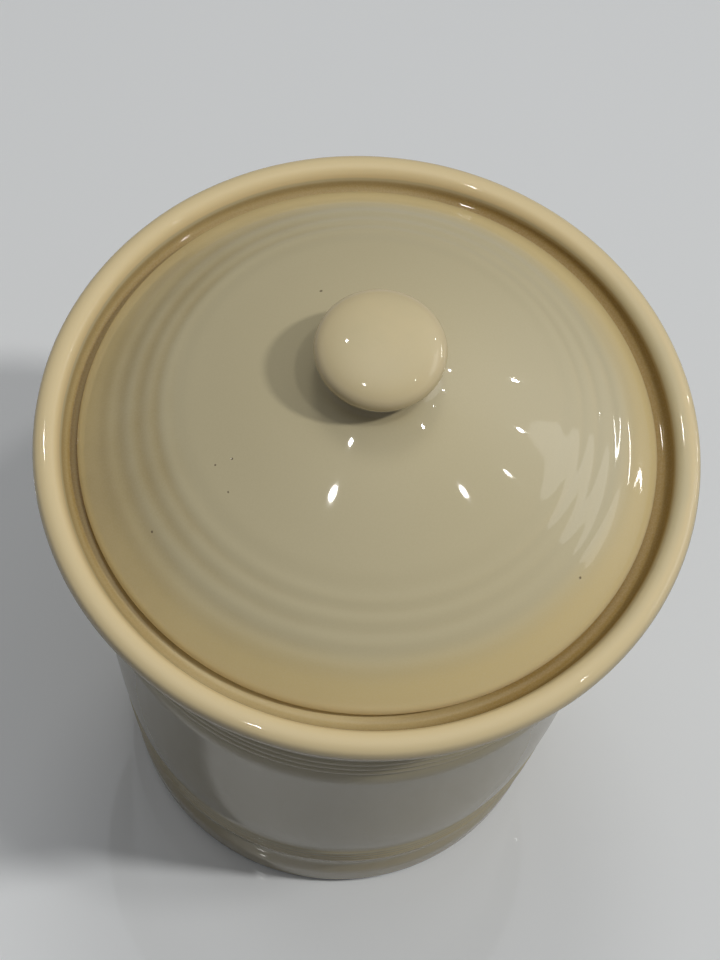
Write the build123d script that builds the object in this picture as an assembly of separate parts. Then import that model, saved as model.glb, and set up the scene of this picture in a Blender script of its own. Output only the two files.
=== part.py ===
from build123d import *
import os
import math

# Lidded stoneware biscuit jar: a straight-sided, slightly tapered pot with an
# everted rim, and a domed lid with a flattened ball knob that sits in the
# rim's gallery.  Four separate pieces, all turned about +Z:
#   jar_body   pot with foot ring, wall rings, everted rim and lid seat
#   lid        domed shell with rings, knob boss and locating flange
#   lid_knob   solid knob, stuck on the boss with slip before firing
#   seal_ring  soft ring in the groove of the lid's flange
# Millimetres.  Origin at the centre of the foot, +Z up.

# ---- driving dimensions -------------------------------------------------
rim_r = 84.0             # rim, outermost radius
rim_top_z = 186.8        # top of the rolled rim
# rolled rim: radius, height, from its underside out, over the top and down to the gallery
roll = [(82.5, 179.1), (83.6, 180.8), (rim_r, 182.6), (83.85, 184.2), (83.35, 185.4), (82.55, 186.15),
        (81.5, 186.63), (80.4, rim_top_z), (79.3, 186.66), (78.35, 186.1), (77.6, 185.1), (77.1, 183.9),
        (76.7, 182.75), (76.2, 181.85), (75.35, 181.27)]
seat_z = 181.0           # flat lid seat in the gallery
mouth_r = 67.0           # bore that the lid's flange drops into
mouth_edge = 0.8         # rounding of the bore's upper edge

foot_in_r = 57.0         # resting annulus
foot_out_r = 63.0
foot_recess_z = 3.2      # height of the underside inside the foot ring
floor_z = 8.0            # inside floor

low_rings = 4            # rings above the foot
low_ring_z0 = 31.7
low_ring_pitch = 3.0
low_ring_h = 0.42
top_rings = 3            # rings under the rim
top_ring_z0 = 134.6
top_ring_pitch = 4.2
top_ring_h = 0.65

lid_edge_r = 72.9        # lid's outer edge
lid_edge_z = 183.3
lid_rest_r = 70.4        # outer limit of the lid's flat resting face
flange_out_r = 63.5      # locating flange under the lid
flange_in_r = 58.5
flange_z = 171.0
groove_r = 62.0          # bottom of the seal groove
groove_z0 = 173.0
groove_z1 = 178.0
lip_r = 66.7             # seal lips, clear of the bore by 0.3

boss_r = 12.0            # neck where the knob is stuck on
boss_z = 223.0
knob_r = 15.65           # knob
knob_eq_z = 229.8
knob_rise = 6.8          # from the widest line to the top
knob_power = 2.2

# lid's dome without its rings: radius, height
dome = [(19.8, 216.7), (27.0, 213.4), (35.0, 209.5), (43.0, 205.3), (50.4, 201.1),
        (57.1, 196.95), (62.2, 193.55), (67.2, 189.75), (70.0, 187.3)]
# four rings on the shoulder, strongest outside: trough radius, crest radius, half height
shoulder = [(49.3, 51.1, 0.04), (52.9, 55.1, 0.07), (57.3, 59.7, 0.10), (62.1, 64.4, 0.11)]


def dome_z(r):
    """Height of the smooth dome at radius r."""
    for (r0, z0), (r1, z1) in zip(dome, dome[1:]):
        if r <= r1:
            return z0 + (z1 - z0) * (r - r0) / (r1 - r0)
    return dome[-1][1]


def fair(points, t0=None, t1=None):
    """Slopes of a smooth curve through the points, by chord length; the end
    directions are t0 and t1 where given, and free where not."""
    n = len(points)
    h = [math.dist(points[i], points[i + 1]) for i in range(n - 1)]
    slopes = [[0.0, 0.0] for _ in range(n)]
    for axis in (0, 1):
        lo, di, up, rhs = [0.0] * n, [0.0] * n, [0.0] * n, [0.0] * n
        p = [q[axis] for q in points]
        if t0 is None:
            di[0], up[0], rhs[0] = 2.0, 1.0, 3 * (p[1] - p[0]) / h[0]
        else:
            di[0], rhs[0] = 1.0, t0[axis] / math.hypot(*t0)
        if t1 is None:
            lo[-1], di[-1], rhs[-1] = 1.0, 2.0, 3 * (p[-1] - p[-2]) / h[-1]
        else:
            di[-1], rhs[-1] = 1.0, t1[axis] / math.hypot(*t1)
        for i in range(1, n - 1):
            lo[i], di[i], up[i] = h[i], 2 * (h[i - 1] + h[i]), h[i - 1]
            rhs[i] = 3 * (h[i] * (p[i] - p[i - 1]) / h[i - 1] + h[i - 1] * (p[i + 1] - p[i]) / h[i])
        for i in range(1, n):
            f = lo[i] / di[i - 1]
            di[i] -= f * up[i - 1]
            rhs[i] -= f * rhs[i - 1]
        slopes[-1][axis] = rhs[-1] / di[-1]
        for i in range(n - 2, -1, -1):
            slopes[i][axis] = (rhs[i] - up[i] * slopes[i + 1][axis]) / di[i]
    return h, slopes


class Profile:
    """Closed outline in the XZ plane, drawn edge after edge."""

    def __init__(self, r, z):
        self.p = (r, z)
        self.first = (r, z)
        self.edges = []

    def _v(self, q):
        return Vector(q[0], 0, q[1])

    def line(self, *pts):
        for q in pts:
            self.edges.append(Edge.make_line(self._v(self.p), self._v(q)))
            self.p = q
        return self

    def arc(self, mid, end):
        self.edges.append(Edge.make_three_point_arc(self._v(self.p), self._v(mid), self._v(end)))
        self.p = end
        return self

    def curve(self, pts, t0=None, t1=None):
        """Smooth curve through the points, one cubic span between each two."""
        q = [self.p] + list(pts)
        h, m = fair(q, t0, t1)
        for i in range(len(q) - 1):
            a, b = q[i], q[i + 1]
            c1 = (a[0] + m[i][0] * h[i] / 3, a[1] + m[i][1] * h[i] / 3)
            c2 = (b[0] - m[i + 1][0] * h[i] / 3, b[1] - m[i + 1][1] * h[i] / 3)
            self.edges.append(Edge.make_bezier(self._v(a), self._v(c1), self._v(c2), self._v(b)))
        self.p = q[-1]
        return self

    def turn(self):
        if self.p != self.first:
            self.line(self.first)
        return revolve(Face(Wire(self.edges)), Axis.Z, 360)


def rings(prof, radius_at, z0, pitch, count, height):
    """A stack of rounded rings going up from z0."""
    for i in range(count):
        za, zb = z0 + i * pitch, z0 + (i + 1) * pitch
        zm = (za + zb) / 2
        prof.arc((radius_at(zm) + height, zm), (radius_at(zb), zb))


# ---- jar body -----------------------------------------------------------
def low_r(z):
    return 67.1 + 0.06 * (z - low_ring_z0)


def top_r(z):
    return 72.3 + 0.05 * (z - top_ring_z0)


jar = Profile(0, foot_recess_z)
jar.line((52.0, foot_recess_z))
jar.curve([(54.6, 2.4), (56.0, 0.8), (foot_in_r, 0.0)], t0=(1, 0), t1=(1, -0.5))
jar.line((foot_out_r, 0.0))
jar.curve([(64.5, 0.6), (65.15, 2.1), (65.95, 9.0), (66.3, 17.0), (65.75, 23.4), (66.5, 28.4),
           (low_r(low_ring_z0), low_ring_z0)], t0=(1, 0.1), t1=(0.1, 1))
rings(jar, low_r, low_ring_z0, low_ring_pitch, low_rings, low_ring_h)
jar.curve([(68.9, 56.0), (70.05, 75.0), (71.2, 98.0), (72.3, 117.0), (72.95, 126.0), (73.1, 129.6),
           (72.9, 131.6), (72.55, 133.2), (top_r(top_ring_z0), top_ring_z0)], t0=(0.09, 1), t1=(0.05, 1))
rings(jar, top_r, top_ring_z0, top_ring_pitch, top_rings, top_ring_h)
# neck turns out to the rolled rim, which runs down inside to the flat seat
jar.curve([(73.35, 150.2), (74.1, 154.8), (75.0, 161.0), (75.9, 167.6), (77.5, 173.2), (80.3, 176.9)] + roll
          + [(74.4, seat_z)], t0=(0.1, 1), t1=(-1, 0))
jar.line((mouth_r + mouth_edge, seat_z))
jar.arc((mouth_r + mouth_edge * (1 - math.sqrt(0.5)), seat_z - mouth_edge * (1 - math.sqrt(0.5))),
        (mouth_r, seat_z - mouth_edge))
jar.line((mouth_r, 150.0))
jar.curve([(66.6, 120.0), (65.2, 82.0), (63.3, 48.0), (61.4, 24.0), (58.6, 13.6), (49.0, floor_z)],
          t0=(0, -1), t1=(-1, 0))
jar.line((0, floor_z))
jar_body = jar.turn()

# ---- lid ----------------------------------------------------------------
top = Profile(0, boss_z)
top.line((boss_r, boss_z))
# neck flares out into the dome, which ends in the rings of the shoulder
crown = [(12.4, 221.6), (13.6, 220.2), (15.5, 218.95), (17.6, 217.8)] + dome[:4] + [(46.0, 203.65)]
for trough, crest, a in shoulder:
    crown.append((trough, dome_z(trough) - a))
    crown.append((crest, dome_z(crest) + a))
# rounded edge, then the underside in to the resting face
crown += [(66.6, dome_z(66.6) - 0.02), (68.6, 188.6), (70.4, 187.1), (71.75, 185.8), (72.5, 184.85),
          (72.82, 184.1), (lid_edge_r, lid_edge_z), (72.6, 182.4), (71.8, 181.6), (lid_rest_r, seat_z)]
top.curve(crown, t0=(0, -1), t1=(-1, -0.12))
top.line((flange_out_r, seat_z), (flange_out_r, groove_z1), (groove_r, groove_z1),
         (groove_r, groove_z0), (flange_out_r, groove_z0), (flange_out_r, flange_z + 1.2))
top.arc((flange_out_r - 0.35, flange_z + 0.35), (flange_out_r - 1.2, flange_z))
top.line((flange_in_r + 1.2, flange_z))
top.arc((flange_in_r + 0.35, flange_z + 0.35), (flange_in_r, flange_z + 1.2))
top.line((flange_in_r, 183.0))
top.curve([(57.4, 187.9), (53.4, 192.0), (46.0, 197.0), (37.0, 202.2), (27.0, 207.2),
           (14.0, 211.9), (0.0, 213.8)], t0=(0, 1), t1=(-1, 0))
lid = top.turn()

# ---- knob ---------------------------------------------------------------
k = Profile(0, boss_z)
k.line((boss_r, boss_z))
cap = [(12.2, 224.3), (13.4, 225.5), (14.95, 227.4), (knob_r, knob_eq_z)]
for deg in (12, 25, 38, 51, 64, 77):
    r = knob_r * math.cos(math.radians(deg))
    cap.append((r, knob_eq_z + knob_rise * (1 - (r / knob_r) ** knob_power) ** (1 / knob_power)))
cap.append((0.0, knob_eq_z + knob_rise))
k.curve(cap, t0=(0, 1), t1=(-1, 0))
lid_knob = k.turn()

# ---- seal ring ----------------------------------------------------------
band_r = flange_out_r + 0.4
s = Profile(groove_r, groove_z0)
s.line((band_r, groove_z0))
for z in (groove_z0 + 0.6, groove_z0 + 3.0):
    # a lip that leans outwards and up, as it does when the lid goes in
    s.line((band_r, z), (band_r + 1.5, z + 0.15), (lip_r, z + 0.9), (lip_r - 0.15, z + 1.5),
           (band_r + 1.4, z + 1.05), (band_r, z + 1.05))
s.line((band_r, groove_z1), (groove_r, groove_z1))
seal_ring = s.turn()

# ---- files --------------------------------------------------------------
os.makedirs("parts", exist_ok=True)
for name, shape in (("jar_body", jar_body), ("lid", lid), ("lid_knob", lid_knob),
                    ("seal_ring", seal_ring)):
    shape.label = name
    export_step(shape, "parts/" + name + ".step")
    b = shape.bounding_box()
    print(name, "volume cm3 %.1f" % (shape.volume / 1000),
          "z %.2f..%.2f" % (b.min.Z, b.max.Z), "r %.2f" % b.max.X, "valid", shape.is_valid)
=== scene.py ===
import math
import random

import bmesh
import bpy
import numpy as np
from mathutils import Matrix, Vector


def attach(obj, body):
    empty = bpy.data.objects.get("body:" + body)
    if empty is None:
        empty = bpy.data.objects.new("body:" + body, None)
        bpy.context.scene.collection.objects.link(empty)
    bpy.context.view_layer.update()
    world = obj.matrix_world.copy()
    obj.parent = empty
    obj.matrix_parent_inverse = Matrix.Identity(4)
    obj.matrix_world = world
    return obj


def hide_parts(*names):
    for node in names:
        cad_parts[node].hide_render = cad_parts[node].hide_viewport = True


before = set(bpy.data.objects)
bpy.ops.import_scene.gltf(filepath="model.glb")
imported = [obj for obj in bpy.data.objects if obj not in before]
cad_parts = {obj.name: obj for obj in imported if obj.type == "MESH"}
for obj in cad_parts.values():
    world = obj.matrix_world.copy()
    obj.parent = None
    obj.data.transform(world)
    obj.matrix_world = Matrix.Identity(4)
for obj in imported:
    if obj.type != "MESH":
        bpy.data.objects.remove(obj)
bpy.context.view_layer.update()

MM = 0.001

# ---------------------------------------------------------------- camera
# Fitted to the jar's rim and foot: 960 pixels on the long side, 2135 pixels of focal length.
cam_data = bpy.data.cameras.new("camera")
cam_data.lens = 80.06
cam_data.sensor_width = 36.0
cam_data.clip_start = 0.01
cam_data.clip_end = 50.0
cam = bpy.data.objects.new("camera", cam_data)
bpy.context.scene.collection.objects.link(cam)
right = Vector((0.99197, 0.11420, 0.05440)).normalized()
back = Vector((0.0, -0.42993, 0.90290))
back = (back - right * back.dot(right)).normalized()
up = back.cross(right).normalized()
rot = Matrix((right, up, back)).transposed()
cam.matrix_world = Matrix.Translation(Vector((-0.94, -240.32, 663.50)) * MM) @ rot.to_4x4()
bpy.context.scene.camera = cam

# ------------------------------------------------------- turned outlines
# Millimetres, the same numbers as the construction; every outline is closed and runs
# anticlockwise in the (radius, height) plane: out along the bottom, up, and back in.
rim_r, rim_top_z = 84.0, 186.8
roll = [(82.5, 179.1), (83.6, 180.8), (rim_r, 182.6), (83.85, 184.2), (83.35, 185.4), (82.55, 186.15),
        (81.5, 186.63), (80.4, rim_top_z), (79.3, 186.66), (78.35, 186.1), (77.6, 185.1), (77.1, 183.9),
        (76.7, 182.75), (76.2, 181.85), (75.35, 181.27)]
seat_z, mouth_r, mouth_edge = 181.0, 67.0, 0.8
foot_in_r, foot_out_r, foot_recess_z, floor_z = 57.0, 63.0, 3.2, 8.0
low_rings, low_z0, low_pitch, low_h = 4, 31.7, 3.0, 0.42
top_rings, top_z0, top_pitch, top_h = 3, 134.6, 4.2, 0.65
lid_edge_r, lid_rest_r = 72.9, 70.4
flange_out_r, flange_in_r, flange_z = 63.5, 58.5, 171.0
groove_r, groove_z0, groove_z1, lip_r = 62.0, 173.0, 178.0, 66.7
boss_r, boss_z = 12.0, 223.0
knob_r, knob_eq_z, knob_rise, knob_power = 15.65, 229.8, 6.8, 2.2
dome = [(19.8, 216.7), (27.0, 213.4), (35.0, 209.5), (43.0, 205.3), (50.4, 201.1),
        (57.1, 196.95), (62.2, 193.55), (67.2, 189.75), (70.0, 187.3)]
shoulder = [(49.3, 51.1, 0.04), (52.9, 55.1, 0.07), (57.3, 59.7, 0.10), (62.1, 64.4, 0.11)]


def dome_z(r):
    for (r0, z0), (r1, z1) in zip(dome, dome[1:]):
        if r <= r1:
            return z0 + (z1 - z0) * (r - r0) / (r1 - r0)
    return dome[-1][1]


def fair(pts, t0=None, t1=None):
    """Chord-length slopes of the smooth curve through pts, as the construction has them."""
    n = len(pts)
    h = [math.dist(pts[i], pts[i + 1]) for i in range(n - 1)]
    slopes = np.zeros((n, 2))
    for axis in (0, 1):
        m, rhs = np.zeros((n, n)), np.zeros(n)
        p = [q[axis] for q in pts]
        if t0 is None:
            m[0, 0], m[0, 1], rhs[0] = 2, 1, 3 * (p[1] - p[0]) / h[0]
        else:
            m[0, 0], rhs[0] = 1, t0[axis] / math.hypot(*t0)
        if t1 is None:
            m[-1, -2], m[-1, -1], rhs[-1] = 1, 2, 3 * (p[-1] - p[-2]) / h[-1]
        else:
            m[-1, -1], rhs[-1] = 1, t1[axis] / math.hypot(*t1)
        for i in range(1, n - 1):
            m[i, i - 1], m[i, i], m[i, i + 1] = h[i], 2 * (h[i - 1] + h[i]), h[i - 1]
            rhs[i] = 3 * (h[i] * (p[i] - p[i - 1]) / h[i - 1] + h[i - 1] * (p[i + 1] - p[i]) / h[i])
        slopes[:, axis] = np.linalg.solve(m, rhs)
    return h, slopes


class Outline:
    def __init__(self, r, z):
        self.pts = [(r, z)]

    def line(self, *pts, step=6.0):
        for q in pts:
            p = self.pts[-1]
            n = max(1, math.ceil(math.dist(p, q) / step))
            for i in range(1, n + 1):
                self.pts.append((p[0] + (q[0] - p[0]) * i / n, p[1] + (q[1] - p[1]) * i / n))
        return self

    def curve(self, pts, t0=None, t1=None, turn=5.0, step=4.0):
        q = [self.pts[-1]] + list(pts)
        h, m = fair(q, t0, t1)
        for i in range(len(q) - 1):
            a, b = np.array(q[i]), np.array(q[i + 1])
            c1, c2 = a + m[i] * h[i] / 3, b - m[i + 1] * h[i] / 3
            t = np.linspace(0, 1, 33)[:, None]
            bez = (1 - t) ** 3 * a + 3 * (1 - t) ** 2 * t * c1 + 3 * (1 - t) * t * t * c2 + t ** 3 * b
            d = np.diff(bez, axis=0)
            ang = np.unwrap(np.arctan2(d[:, 1], d[:, 0]))
            total = math.degrees(np.abs(np.diff(ang)).sum())
            n = int(min(32, max(1, math.ceil(max(total / turn, np.hypot(*d.T).sum() / step)))))
            for j in range(1, n + 1):
                s = j / n
                p = (1 - s) ** 3 * a + 3 * (1 - s) ** 2 * s * c1 + 3 * (1 - s) * s * s * c2 + s ** 3 * b
                self.pts.append((float(p[0]), float(p[1])))
        return self

    def round_to(self, corner, end, radius=0.4, n=5):
        """A line to the corner that is eased with a small radius, then on to end."""
        a, c, b = (np.array(v, float) for v in (self.pts[-1], corner, end))
        u, v = (a - c) / np.linalg.norm(a - c), (b - c) / np.linalg.norm(b - c)
        radius = min(radius, 0.45 * np.linalg.norm(b - c), 0.9 * np.linalg.norm(a - c))
        p, q = c + u * radius, c + v * radius
        self.line(tuple(p))
        for j in range(1, n + 1):
            s = j / n
            self.pts.append(tuple(float(x) for x in (1 - s) ** 2 * p + 2 * (1 - s) * s * c + s * s * q))
        return self

    def rings(self, radius_at, z0, pitch, count, height, n=12, soft=0.16):
        """Rounded rings whose valleys are filled a little by the glaze."""
        for i in range(count):
            for j in range(1, n + 1):
                u = j / n
                z = z0 + (i + u) * pitch
                w = (math.sqrt(math.sin(math.pi * u) ** 2 + soft ** 2) - soft) / (math.sqrt(1 + soft ** 2) - soft)
                self.pts.append((radius_at(z) + height * w, z))
        return self

    def arc(self, centre, radius, a0, a1, n=8):
        for j in range(1, n + 1):
            a = math.radians(a0 + (a1 - a0) * j / n)
            self.pts.append((centre[0] + radius * math.cos(a), centre[1] + radius * math.sin(a)))
        return self


def low_r(z):
    return 67.1 + 0.06 * (z - low_z0)


def top_r(z):
    return 72.3 + 0.05 * (z - top_z0)


def jar_outline():
    o = Outline(0, foot_recess_z)
    o.line((52.0, foot_recess_z), step=9)
    o.curve([(54.6, 2.4), (56.0, 0.8), (foot_in_r, 0.0)], t0=(1, 0), t1=(1, -0.5))
    o.line((foot_out_r, 0.0), step=1.0)
    o.curve([(64.5, 0.6), (65.15, 2.1), (65.95, 9.0), (66.3, 17.0), (65.75, 23.4), (66.5, 28.4),
             (low_r(low_z0), low_z0)], t0=(1, 0.1), t1=(0.1, 1), step=2.0)
    o.rings(low_r, low_z0, low_pitch, low_rings, low_h)
    o.curve([(68.9, 56.0), (70.05, 75.0), (71.2, 98.0), (72.3, 117.0), (72.95, 126.0), (73.1, 129.6),
             (72.9, 131.6), (72.55, 133.2), (top_r(top_z0), top_z0)], t0=(0.09, 1), t1=(0.05, 1), turn=3.0, step=7.0)
    o.rings(top_r, top_z0, top_pitch, top_rings, top_h)
    o.curve([(73.35, 150.2), (74.1, 154.8), (75.0, 161.0), (75.9, 167.6), (77.5, 173.2), (80.3, 176.9)] + roll
            + [(74.4, seat_z)], t0=(0.1, 1), t1=(-1, 0), turn=4.0, step=2.0)
    o.line((73.2, seat_z), step=0.4)
    o.line((mouth_r + mouth_edge, seat_z), step=1.2)
    o.arc((mouth_r + mouth_edge, seat_z - mouth_edge), mouth_edge, 90, 180)
    o.line((mouth_r, 150.0), step=6)
    o.curve([(66.6, 120.0), (65.2, 82.0), (63.3, 48.0), (61.4, 24.0), (58.6, 13.6), (49.0, floor_z)],
            t0=(0, -1), t1=(-1, 0), step=6)
    o.line((0, floor_z), step=9)
    return o.pts


def lid_outline():
    o = Outline(0, 213.8)                                   # under the dome, down to the flange
    o.curve([(14.0, 211.9), (27.0, 207.2), (37.0, 202.2), (46.0, 197.0), (53.4, 192.0), (57.4, 187.9),
             (flange_in_r, 183.0)], t0=(1, 0), t1=(0, -1), step=3.0)
    o.line((flange_in_r, flange_z + 1.2), step=3)
    o.arc((flange_in_r + 1.2, flange_z + 1.2), 1.2, 180, 270)
    o.line((flange_out_r - 1.2, flange_z), step=1.0)
    o.arc((flange_out_r - 1.2, flange_z + 1.2), 1.2, 270, 360)
    o.round_to((flange_out_r, groove_z0), (groove_r, groove_z0), 0.3)
    o.round_to((groove_r, groove_z0), (groove_r, groove_z1), 0.2)
    o.round_to((groove_r, groove_z1), (flange_out_r, groove_z1), 0.2)
    o.round_to((flange_out_r, groove_z1), (flange_out_r, seat_z), 0.3)
    o.round_to((flange_out_r, seat_z), (lid_rest_r, seat_z), 0.5)
    o.line((lid_rest_r, seat_z), step=1.5)
    crown = [(12.4, 221.6), (13.6, 220.2), (15.5, 218.95), (17.6, 217.8)] + dome[:4] + [(46.0, 203.65)]
    for trough, crest, a in shoulder:
        crown.append((trough, dome_z(trough) - a))
        crown.append((crest, dome_z(crest) + a))
    crown += [(66.6, dome_z(66.6) - 0.02), (68.6, 188.6), (70.4, 187.1), (71.75, 185.8), (72.5, 184.85),
              (72.82, 184.1), (lid_edge_r, 183.3), (72.6, 182.4), (71.8, 181.6), (lid_rest_r, seat_z)]
    skin = Outline(boss_r, boss_z)
    skin.curve(crown, t0=(0, -1), t1=(-1, -0.12), turn=4.0, step=0.8)
    o.pts += skin.pts[::-1][1:]
    o.line((0, boss_z), step=4)
    return o.pts


def knob_outline():
    cap = [(12.2, 224.3), (13.4, 225.5), (14.95, 227.4), (knob_r, knob_eq_z)]
    for deg in (12, 25, 38, 51, 64, 77):
        r = knob_r * math.cos(math.radians(deg))
        cap.append((r, knob_eq_z + knob_rise * (1 - (r / knob_r) ** knob_power) ** (1 / knob_power)))
    cap.append((0.0, knob_eq_z + knob_rise))
    o = Outline(0, boss_z)
    o.line((boss_r, boss_z), step=4)
    o.curve(cap, t0=(0, 1), t1=(-1, 0), turn=3.0, step=0.7)
    return o.pts


def seal_outline():
    band = flange_out_r + 0.4
    o = Outline(groove_r, groove_z0)
    o.round_to((band, groove_z0), (band, groove_z0 + 0.6), 0.2, 3)
    for z in (groove_z0 + 0.6, groove_z0 + 3.0):
        o.round_to((band, z), (band + 1.5, z + 0.15), 0.15, 3)
        o.line((band + 1.5, z + 0.15), step=0.5)
        o.curve([(lip_r - 0.5, z + 0.55), (lip_r - 0.02, z + 1.05), (lip_r - 0.15, z + 1.5)],
                t0=(1, 0.25), t1=(-0.75, 0.65), turn=12, step=0.4)
        o.curve([(lip_r - 0.7, z + 1.32), (band + 1.4, z + 1.05)], t0=(-1, -0.25), t1=(-1, -0.05), turn=12, step=0.6)
        o.round_to((band, z + 1.05), (band, z + 2.0), 0.2, 3)
    o.round_to((band, groove_z1), (groove_r, groove_z1), 0.2, 3)
    o.line((groove_r, groove_z1), (groove_r, groove_z0), step=3)
    return o.pts[:-1]


# --------------------------------------------------------------- lathing
rng = np.random.default_rng(7)


def waves(count, low, high):
    """Directions and phases of smooth sine waves, wavelengths low to high in mm."""
    d = rng.normal(size=(count, 3))
    d /= np.linalg.norm(d, axis=1)[:, None]
    k = 2 * math.pi / np.exp(rng.uniform(math.log(low), math.log(high), count))
    return d * k[:, None], rng.uniform(0, 2 * math.pi, count), 1 / count ** 0.5


def undulate(p, w):
    d, ph, a = w
    return np.sin(p @ d.T + ph).sum(1) * a


BODY_WAVES = waves(24, 14.0, 60.0)


def lathe(name, pts, segments, wobble=0.0, still=None, glaze_line=None, warmth=None, pooling=None, extra=None,
          painted_shade=None):
    """Turns a closed outline about Z. Stores on each vertex how much glaze lies there, from the
    outline's hollows and ridges, with painted shade added to it in places, how warm it is and how bare of glaze."""
    pts = [p for i, p in enumerate(pts) if i == 0 or math.dist(p, pts[i - 1]) > 1e-4]
    if math.dist(pts[0], pts[-1]) < 1e-4:
        pts.pop()
    closed = pts[0][0] > 1e-6
    p = np.array(pts)
    n = len(p)
    # signed turn at each vertex of the outline, smoothed along it
    prev = np.roll(p, 1, 0)
    nxt = np.roll(p, -1, 0)
    if not closed:
        prev[0] = p[0] * (-1, 1) + (-1, 0)
        nxt[-1] = p[-1] * (-1, 1) - (1, 0)
    a, b = p - prev, nxt - p
    turn = np.arctan2(a[:, 0] * b[:, 1] - a[:, 1] * b[:, 0], (a * b).sum(1))
    s = np.concatenate([[0], np.cumsum(np.hypot(*np.diff(p, axis=0).T))])
    width = 0.9
    kappa = np.array([(turn * np.exp(-(((s - si) / width) ** 2))).sum() for si in s]) / (width * math.pi ** 0.5)
    gain = np.array([pooling(r, z) if pooling else 1.6 for r, z in p])
    # extra shifts the depth: painted shade under the jar's rim, lighter on the rim's top and the knob's cap
    pool_and_shade = 0.5 - 0.5 * np.tanh(kappa * gain) + np.array([extra(r, z) if extra else 0.0 for r, z in p])
    # outward normal of the outline
    t = nxt - prev
    t /= np.maximum(np.hypot(*t.T), 1e-9)[:, None]
    normal = np.stack([t[:, 1], -t[:, 0]], 1)

    bm = bmesh.new()
    pool_and_shade_layer = bm.verts.layers.float.new("pool_and_shade")
    bare_layer = bm.verts.layers.float.new("bare")
    warm_layer = bm.verts.layers.float.new("warm")
    ang = np.arange(segments) * 2 * math.pi / segments
    cos, sin = np.cos(ang), np.sin(ang)
    loops = []
    for i in range(n):
        r, z = p[i]
        bare = glaze_line(r, z) if glaze_line else 0.0
        warm = warmth(r, z) if warmth else 0.0
        if r < 1e-6:
            v = bm.verts.new((0, 0, z * MM))
            v[pool_and_shade_layer], v[bare_layer], v[warm_layer] = pool_and_shade[i], bare, warm
            loops.append([v])
            continue
        at = np.stack([r * cos, r * sin, np.full(segments, z)], 1)
        move = np.zeros(segments)
        if wobble:
            amount = wobble * (still(r, z) if still else 1.0)
            if amount:
                move = undulate(at, BODY_WAVES) * amount
        at[:, 0] += move * normal[i, 0] * cos
        at[:, 1] += move * normal[i, 0] * sin
        at[:, 2] += move * normal[i, 1]
        # painted shade in the gallery and on the lid's left side is added to the depth here
        depth = pool_and_shade[i] + (painted_shade(r, z, ang) if painted_shade else 0.0) * np.ones(segments)
        row = []
        for q, d in zip(at, depth):
            v = bm.verts.new(q * MM)
            v[pool_and_shade_layer], v[bare_layer], v[warm_layer] = float(d), bare, warm
            row.append(v)
        loops.append(row)
    pairs = list(zip(loops, loops[1:]))
    if closed:
        pairs.append((loops[-1], loops[0]))
    for lo, hi in pairs:
        if len(lo) == 1 and len(hi) == 1:
            continue
        for j in range(segments):
            k = (j + 1) % segments
            if len(lo) == 1:
                bm.faces.new((lo[0], hi[k], hi[j]))
            elif len(hi) == 1:
                bm.faces.new((lo[j], lo[k], hi[0]))
            else:
                bm.faces.new((lo[j], lo[k], hi[k], hi[j]))
    for f in bm.faces:
        f.smooth = True
    bm.normal_update()
    me = bpy.data.meshes.new(name)
    bm.to_mesh(me)
    bm.free()
    me.set_sharp_from_angle(angle=math.radians(38))
    ob = bpy.data.objects.new(name, me)
    bpy.context.scene.collection.objects.link(ob)
    return ob


# ------------------------------------------------------------- materials
class Tree:
    """Short names for building a node tree."""

    def __init__(self, name):
        self.mat = bpy.data.materials.new(name)
        self.mat.use_nodes = True
        self.nt = self.mat.node_tree
        self.nt.nodes.clear()
        self.out = self.nt.nodes.new("ShaderNodeOutputMaterial")
        self.bsdf = self.nt.nodes.new("ShaderNodeBsdfPrincipled")
        self.nt.links.new(self.bsdf.outputs[0], self.out.inputs["Surface"])

    def put(self, socket, value):
        if isinstance(value, bpy.types.NodeSocket):
            self.nt.links.new(value, socket)
        elif isinstance(value, tuple) and len(value) == 3 and socket.type == "RGBA":
            socket.default_value = (*value, 1)
        else:
            socket.default_value = value

    def math(self, op, a, b=0.0, c=0.0, clamp=False):
        n = self.nt.nodes.new("ShaderNodeMath")
        n.operation, n.use_clamp = op, clamp
        for i, v in enumerate((a, b, c)):
            self.put(n.inputs[i], v)
        return n.outputs[0]

    def mix(self, fac, a, b):
        n = self.nt.nodes.new("ShaderNodeMix")
        n.data_type = "RGBA"
        self.put(n.inputs["Factor"], fac)
        self.put(n.inputs[6], a)
        self.put(n.inputs[7], b)
        return n.outputs[2]

    def step(self, value, lo, hi, out_lo=0.0, out_hi=1.0):
        n = self.nt.nodes.new("ShaderNodeMapRange")
        n.interpolation_type = "SMOOTHSTEP"
        self.put(n.inputs["Value"], value)
        self.put(n.inputs["From Min"], lo)
        self.put(n.inputs["From Max"], hi)
        self.put(n.inputs["To Min"], out_lo)
        self.put(n.inputs["To Max"], out_hi)
        return n.outputs["Result"]

    def place(self):
        return self.nt.nodes.new("ShaderNodeTexCoord").outputs["Object"]

    def noise(self, at, scale, detail=2.0, rough=0.5):
        n = self.nt.nodes.new("ShaderNodeTexNoise")
        self.put(n.inputs["Vector"], at)
        self.put(n.inputs["Scale"], scale)
        self.put(n.inputs["Detail"], detail)
        self.put(n.inputs["Roughness"], rough)
        return n.outputs["Fac"]

    def attribute(self, name):
        n = self.nt.nodes.new("ShaderNodeAttribute")
        n.attribute_name = name
        return n.outputs["Fac"]

    def bump(self, height, distance, strength=1.0, normal=None):
        n = self.nt.nodes.new("ShaderNodeBump")
        self.put(n.inputs["Height"], height)
        self.put(n.inputs["Distance"], distance)
        self.put(n.inputs["Strength"], strength)
        if normal is not None:
            self.put(n.inputs["Normal"], normal)
        return n.outputs[0]


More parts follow.
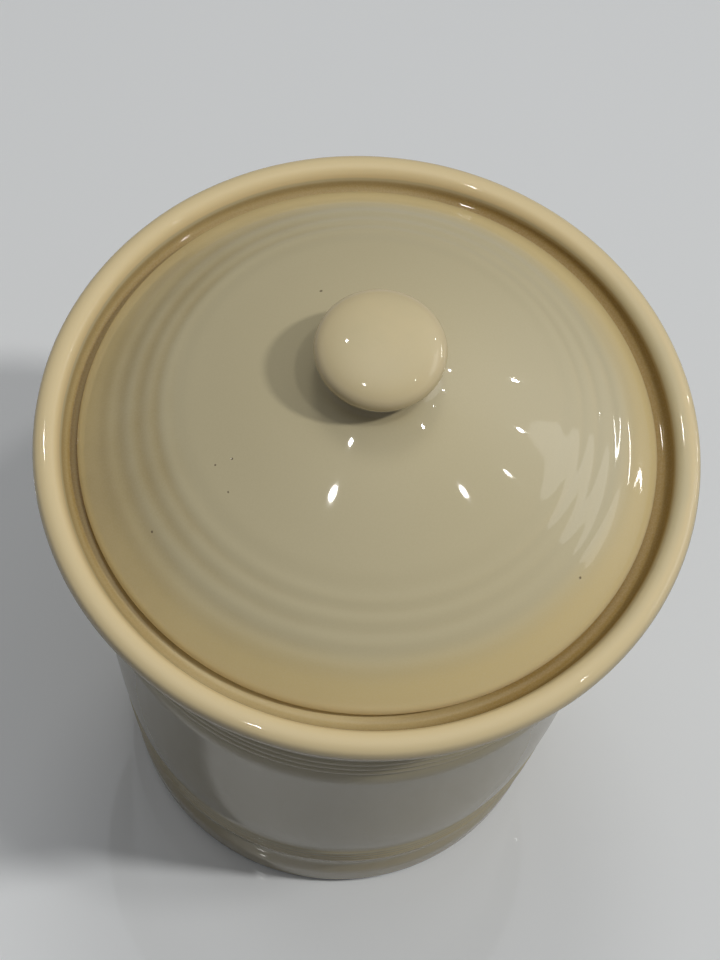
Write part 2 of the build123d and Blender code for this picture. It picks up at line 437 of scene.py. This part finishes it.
THIN = (0.865, 0.70, 0.40)      # glaze run thin on the ridges
EVEN = (0.665, 0.58, 0.365)     # ivory of the even coat
WARM = (0.745, 0.59, 0.29)      # the yellower coat round the lid's edge and on the seat
THICK = (0.475, 0.36, 0.165)    # pooled in the hollows; also the painted shade under the rim, in the gallery and on the lid's left
DEEP = (0.34, 0.225, 0.07)      # darkest brown: the deepest painted shade, in the gallery and under the rim, and the deepest pools
BISQUE = (0.74, 0.66, 0.54)     # wiped clay
IRON = (0.10, 0.065, 0.035)     # iron specks in the clay


def glaze_material(name, specks=()):
    t = Tree(name)
    at = t.place()
    pool_and_shade = t.attribute("pool_and_shade")
    bare = t.attribute("bare")
    # the coat's thickness: hollows and ridges, painted shade under the rim, in the gallery and on the lid's left,
    # and slow drifts over the piece
    drift = t.noise(at, 16.0, 2.0)
    mottle = t.noise(at, 120.0, 3.0, 0.55)
    depth = t.math("ADD", pool_and_shade, t.math("MULTIPLY", t.math("SUBTRACT", drift, 0.5), 0.34))
    depth = t.math("ADD", depth, t.math("MULTIPLY", t.math("SUBTRACT", mottle, 0.5), 0.10))
    warm = t.math("ADD", t.attribute("warm"), t.math("MULTIPLY", t.math("SUBTRACT", drift, 0.5), 0.5))
    even = t.mix(t.step(warm, 0.10, 1.0), EVEN, WARM)
    colour = t.mix(t.step(depth, 0.12, 0.50), THIN, even)
    colour = t.mix(t.step(depth, 0.52, 0.98), colour, THICK)
    colour = t.mix(t.step(depth, 0.95, 1.40), colour, DEEP)
    # fine grain of the glaze
    grain = t.noise(at, 2200.0, 2.0, 0.6)
    colour = t.mix(t.step(grain, 0.30, 0.75, 0.0, 0.10), colour, (0.80, 0.70, 0.50))
    # iron specks: a few small dark dots, each with a soft brown edge
    vor = t.nt.nodes.new("ShaderNodeTexVoronoi")
    t.put(vor.inputs["Vector"], at)
    t.put(vor.inputs["Scale"], 62.0)
    cell = t.nt.nodes.new("ShaderNodeSeparateColor")
    t.put(cell.inputs[0], vor.outputs["Color"])
    size = t.step(cell.outputs[0], 0.80, 1.0, 0.0, 0.020)
    dot = t.step(t.math("SUBTRACT", size, vor.outputs["Distance"]), -0.004, 0.006)
    dots = t.math("MULTIPLY", dot, t.step(cell.outputs[0], 0.80, 0.82))
    for x, y, z, radius in specks:
        n = t.nt.nodes.new("ShaderNodeVectorMath")
        n.operation = "DISTANCE"
        t.put(n.inputs[0], at)
        n.inputs[1].default_value = (x * MM, y * MM, z * MM)
        one = t.step(n.outputs["Value"], radius * 1.5 * MM, radius * 0.6 * MM)
        dots = t.math("MAXIMUM", dots, one)
    colour = t.mix(t.math("MULTIPLY", dots, 0.8), colour, IRON)
    # where the glaze was wiped off, down to the clay
    edge = t.math("ADD", bare, t.math("MULTIPLY", t.math("SUBTRACT", t.noise(at, 260.0, 3.0), 0.5), 0.5))
    wiped = t.step(edge, 0.44, 0.56)
    clay = t.mix(t.step(t.noise(at, 900.0, 4.0, 0.65), 0.3, 0.7), BISQUE, (0.60, 0.51, 0.39))
    colour = t.mix(wiped, colour, clay)
    t.put(t.bsdf.inputs["Base Color"], colour)
    rough = t.math("ADD", 0.028, t.math("MULTIPLY", t.noise(at, 45.0, 3.0), 0.03))
    rough = t.math("ADD", rough, t.math("MULTIPLY", dots, 0.25))
    rough = t.math("ADD", t.math("MULTIPLY", rough, t.math("SUBTRACT", 1.0, wiped)), t.math("MULTIPLY", wiped, 0.82))
    t.put(t.bsdf.inputs["Roughness"], rough)
    t.bsdf.inputs["IOR"].default_value = 1.52
    # surface: orange peel of the glaze, pits at the specks, sand in the bare clay
    peel = t.noise(at, 170.0, 1.0, 0.4)
    fine = t.noise(at, 700.0, 1.0, 0.4)
    sand = t.noise(at, 2600.0, 3.0, 0.7)
    height = t.math("ADD", t.math("MULTIPLY", peel, 0.006), t.math("MULTIPLY", fine, 0.0007))
    height = t.math("SUBTRACT", height, t.math("MULTIPLY", dots, 0.06))
    height = t.math("ADD", height, t.math("MULTIPLY", t.math("MULTIPLY", sand, wiped), 0.12))
    height = t.math("SUBTRACT", height, t.math("MULTIPLY", wiped, 0.10))
    t.put(t.bsdf.inputs["Normal"], t.bump(height, MM))
    return t.mat


def seal_material():
    t = Tree("silicone")
    at = t.place()
    tone = t.noise(at, 60.0, 3.0)
    dust = t.noise(at, 1500.0, 3.0, 0.65)
    colour = t.mix(t.step(tone, 0.3, 0.7), (0.72, 0.72, 0.68), (0.64, 0.645, 0.62))
    colour = t.mix(t.step(dust, 0.62, 0.80, 0.0, 0.30), colour, (0.84, 0.83, 0.80))
    t.put(t.bsdf.inputs["Base Color"], colour)
    t.put(t.bsdf.inputs["Roughness"], t.math("ADD", 0.36, t.math("MULTIPLY", dust, 0.22)))
    t.bsdf.inputs["IOR"].default_value = 1.41
    t.bsdf.inputs["Subsurface Weight"].default_value = 0.35
    t.bsdf.inputs["Subsurface Radius"].default_value = (1.0, 0.9, 0.8)
    t.bsdf.inputs["Subsurface Scale"].default_value = 0.0015
    t.put(t.bsdf.inputs["Normal"], t.bump(t.math("MULTIPLY", t.noise(at, 1100.0, 2.0), 0.012), MM))
    return t.mat


# ----------------------------------------------------------------- pieces
def jar_bare(r, z):
    return 1.0 if z < 0.9 and 56.0 < r < 64.7 else 0.0


def lid_bare(r, z):
    return 1.0 if z < flange_z + 0.25 else 0.0


def ease(x, lo, hi):
    x = min(1.0, max(0.0, (x - lo) / (hi - lo)))
    return x * x * (3 - 2 * x)


def jar_warm(r, z):
    """The seat and the inner slope of the rim, and the inside."""
    inner = 0.55 * ease(-r, -78.3, -75.3) if z > 178.5 else 0.0
    inside = 0.5 if r < mouth_r + 0.9 and z < seat_z else 0.0
    return max(inner, inside)


def jar_pooling(r, z):
    """The fine rings above the foot hardly gather the glaze, those under the rim do."""
    if r < 64.5 or not 2.0 < z < 156.0:
        return 1.6
    return 1.1 if z > top_z0 - 2.0 or z < 25.0 else 0.45


def jar_rim_and_under_rim_shade(r, z):
    """Painted shade under the rim: darker on the wall from the top rings up to the rim's roll, where the rim shades
    it. And lighter all over the rim's top.
    """
    if z > 180.9 and r > 70.0:
        return -0.45 * ease(r, 76.7, 77.7)
    # painted shade on the wall under the rim
    return 0.48 * ease(z, 146.0, 150.0) * ease(-z, -182.0, -179.5) if r > 72.0 else 0.0


def jar_painted_shade(r, z, angle):
    """Painted shade in the gallery, partly glaze gathered there: darkest on the right, where the rim
    shades it from the key lamp, and least at the front; a painted shadow of the lid along the seat on
    the left; painted shade on the rim's inner slope on the right; and a painted contact shadow in the
    corner at the lid's edge."""
    if z < 180.9 or r < 70.0:
        return 0.0
    # painted shade in the gallery, partly glaze gathered there: most on the right, least at the front
    share = 0.345 + 0.14 * (np.cos(angle) + np.sin(angle)) + 0.12 * np.cos(2 * angle)
    # painted shadow of the lid's edge along the seat on the left
    seat = 0.25 * np.maximum(0.0, -np.cos(angle)) ** 1.5
    # painted shade on the right, over the gallery and the rim's inner slope, fading out over the rim's top
    slope = 0.65 * np.maximum(0.0, np.cos(angle)) * ease(-r, -84.5, -78.0)
    # painted contact shadow in the corner at the lid's edge, least at the front
    corner = 0.45 * (1 - 0.9 * np.maximum(0.0, -np.sin(angle)) ** 2) * ease(-r, -73.6, -73.1)
    return share * ease(-r, -77.5, -76.5) + seat * ease(-r, -75.9, -75.0) + slope + corner


def lid_warm(r, z):
    return ease(r, 57.0, 71.0) if z > seat_z + 0.2 and r > lid_rest_r - 16 else 0.3 * ease(-z, -200.0, -185.0)


def lid_painted_shade(r, z, angle):
    """Painted shade: darker over the shoulder's rings and the skirt on the left, the side turned away from the key
    lamp.
    """
    if z < seat_z + 0.2:
        return 0.0
    return 0.24 * np.maximum(0.0, -np.cos(angle)) * ease(r, 46.0, 56.0)


def knob_warm(r, z):
    return 0.25


def knob_extra(r, z):
    """Lighter over the knob's cap, from a little below its widest line up; the underside is not lightened."""
    return -0.14 * ease(z, 226.0, 229.0)


def off_seat(r, z):
    """No unevenness where two pieces meet."""
    if r < 12.6 and 221.0 < z:
        return 0.0
    return min(1.0, max(0.0, abs(z - seat_z) - 1.5) / 4.0) if 58.0 < r < 73.0 else 1.0


def off_foot(r, z):
    near_seat = min(1.0, max(0.0, abs(z - seat_z) - 1.5) / 4.0) if r < 77.0 else 1.0
    return near_seat * min(1.0, z / 6.0)


def off_neck(r, z):
    return min(1.0, max(0.0, z - 223.6) / 3.0)


jar = lathe("jar", jar_outline(), 288, wobble=0.018, still=off_foot, glaze_line=jar_bare, warmth=jar_warm,
            pooling=jar_pooling, extra=jar_rim_and_under_rim_shade, painted_shade=jar_painted_shade)
lid = lathe("cover", lid_outline(), 360, wobble=0.018, still=off_seat, glaze_line=lid_bare, warmth=lid_warm,
            painted_shade=lid_painted_shade)
knob = lathe("knob", knob_outline(), 240, wobble=0.012, still=off_neck, warmth=knob_warm, extra=knob_extra)
seal = lathe("seal", seal_outline(), 240)

jar.data.materials.append(glaze_material("glaze_and_painted_shade_jar"))
lid.data.materials.append(glaze_material("glaze_and_painted_shade_cover", specks=(
    (-16.2, 23.7, 212.6, 0.33), (-31.6, -22.0, 207.6, 0.25), (-31.5, -29.6, 205.2, 0.22),
    (-48.8, -37.4, 194.0, 0.28), (-35.5, -23.2, 205.6, 0.22), (54.6, -34.2, 191.8, 0.35))))
knob.data.materials.append(glaze_material("glaze_knob"))
seal.data.materials.append(seal_material())

for ob, body, node, slot in ((jar, "jar", "jar_body", "glaze"), (lid, "lid", "lid", "glaze"),
                             (knob, "lid", "lid_knob", "glaze"), (seal, "lid", "seal_ring", "seal")):
    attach(ob, body)
    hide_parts(node)

# ----------------------------------------------------------- floor, light
bm = bmesh.new()
bmesh.ops.create_circle(bm, cap_ends=True, radius=6.0, segments=128)
floor_mesh = bpy.data.meshes.new("floor")
bm.to_mesh(floor_mesh)
bm.free()
floor = bpy.data.objects.new("floor", floor_mesh)
bpy.context.scene.collection.objects.link(floor)
f = Tree("pale_floor")
ray = f.nt.nodes.new("ShaderNodeLightPath")
pale = f.mix(ray.outputs["Is Glossy Ray"], (0.90, 0.915, 0.93), (0.67, 0.675, 0.68))
f.put(f.bsdf.inputs["Base Color"], f.mix(ray.outputs["Is Diffuse Ray"], pale, (0.19, 0.19, 0.19)))
f.bsdf.inputs["Roughness"].default_value = 0.035
floor.data.materials.append(f.mat)

# A soft studio: a broad overhead glow that fades towards the horizon, over a low even fill.
scene = bpy.context.scene
world = bpy.data.worlds.new("studio")
scene.world = world
world.use_nodes = True
nt = world.node_tree
nt.nodes.clear()
out = nt.nodes.new("ShaderNodeOutputWorld")
direction = nt.nodes.new("ShaderNodeTexCoord").outputs["Generated"]


def world_math(op, a, b=0.0):
    n = nt.nodes.new("ShaderNodeMath")
    n.operation = op
    for i, v in enumerate((a, b)):
        if isinstance(v, bpy.types.NodeSocket):
            nt.links.new(v, n.inputs[i])
        else:
            n.inputs[i].default_value = v
    return n.outputs[0]


def glow(towards, tightness, strength):
    """A round soft light in the world: strength at its middle, narrower as tightness grows."""
    dot = nt.nodes.new("ShaderNodeVectorMath")
    dot.operation = "DOT_PRODUCT"
    nt.links.new(direction, dot.inputs[0])
    dot.inputs[1].default_value = Vector(towards).normalized()
    power = world_math("MULTIPLY", world_math("SUBTRACT", dot.outputs["Value"], 1.0), tightness)
    return world_math("MULTIPLY", world_math("EXPONENT", power), strength)


FILL = 0.02
ROOM = 0.35         # a band above the horizon
GLOWS = [((0, 0, 1), 6.0, 0.70)]
total = FILL
for towards, tightness, strength in GLOWS:
    total = world_math("ADD", glow(towards, tightness, strength), total)
level = nt.nodes.new("ShaderNodeSeparateXYZ")
nt.links.new(direction, level.inputs[0])
band = world_math("MULTIPLY", world_math("SUBTRACT", level.outputs["Z"], 0.20), 4.0)
band = world_math("EXPONENT", world_math("MULTIPLY", world_math("MULTIPLY", band, band), -1.0))
paths = nt.nodes.new("ShaderNodeLightPath")
band = world_math("MULTIPLY", world_math("MULTIPLY", band, ROOM), paths.outputs["Is Glossy Ray"])
dim = nt.nodes.new("ShaderNodeMapRange")
for key, value in (("From Min", 0.1), ("From Max", 0.7), ("To Min", 1.0), ("To Max", 0.15)):
    dim.inputs[key].default_value = value
nt.links.new(level.outputs["Y"], dim.inputs["Value"])
band = world_math("MULTIPLY", band, dim.outputs["Result"])
# and its brighter side, seen only in the glaze
side = glow((0.80, 0.46, 0.38), 7.0, 0.85)
band = world_math("ADD", band, world_math("MULTIPLY", side, paths.outputs["Is Glossy Ray"]))
total = world_math("ADD", total, band)
light = nt.nodes.new("ShaderNodeBackground")
light.inputs["Color"].default_value = (0.95, 0.97, 1.0, 1)
nt.links.new(total, light.inputs["Strength"])
backdrop = nt.nodes.new("ShaderNodeBackground")
backdrop.inputs["Color"].default_value = (0.80, 0.81, 0.82, 1)
backdrop.inputs["Strength"].default_value = 0.62
pick = nt.nodes.new("ShaderNodeMixShader")
nt.links.new(paths.outputs["Is Camera Ray"], pick.inputs[0])
nt.links.new(light.outputs[0], pick.inputs[1])
nt.links.new(backdrop.outputs[0], pick.inputs[2])
nt.links.new(pick.outputs[0], out.inputs[0])


def lamp(name, direction, power, width, height=None, distance=2.3, colour=(1.0, 0.995, 0.97), sees="both"):
    """A small studio lamp. A key lamp only lights, a sparkle only shows in the glaze."""
    d = Vector(direction).normalized()
    data = bpy.data.lights.new(name, "AREA")
    data.shape = "ELLIPSE"
    data.size, data.size_y = width, height or width
    data.energy = power
    data.color = colour
    ob = bpy.data.objects.new(name, data)
    scene.collection.objects.link(ob)
    ob.location = Vector((0, 0, 0.2)) + d * distance
    ob.rotation_mode = "QUATERNION"
    ob.rotation_quaternion = d.to_track_quat("Z", "Y")
    ob.visible_diffuse = sees != "gloss"
    ob.visible_glossy = sees != "light"
    return ob


def sparkle(name, direction, width, height, bright):
    """bright is the radiance of the lamp's face."""
    return lamp(name, direction, bright * math.pi * math.pi * width * height / 4, width, height, sees="gloss")


lamp("key", (0.532, -0.066, 0.844), 16.8, 0.16, sees="light")
lamp("key_high", (0.28, -0.06, 0.958), 5.0, 0.16, sees="light")
lamp("back", (-0.05, 0.35, 0.93), 4.9, 0.5, sees="light")
lamp("rear_fill", (-0.68, 0.62, 0.36), 3.4, 1.2, sees="light")
sparkle("spark_a", (-0.209, -0.426, 0.880), 0.10, 0.10, 130)
sparkle("spark_b", (0.636, -0.173, 0.752), 0.07, 0.07, 90)
sparkle("spark_c", (0.786, 0.075, 0.614), 0.032, 0.032, 100)
sparkle("spark_d", (0.791, 0.345, 0.506), 0.038, 0.032, 100)
sparkle("spark_e", (0.692, 0.612, 0.382), 0.045, 0.036, 100)
sparkle("spark_f", (-0.40, 0.38, 0.835), 0.11, 0.10, 90)
sparkle("strip", (0.886, 0.451, 0.105), 0.60, 0.03, 40)
sparkle("window", (0.87, 0.20, 0.40), 1.3, 0.55, 1.1)

scene.view_settings.view_transform = "Standard"
scene.view_settings.look = "None"
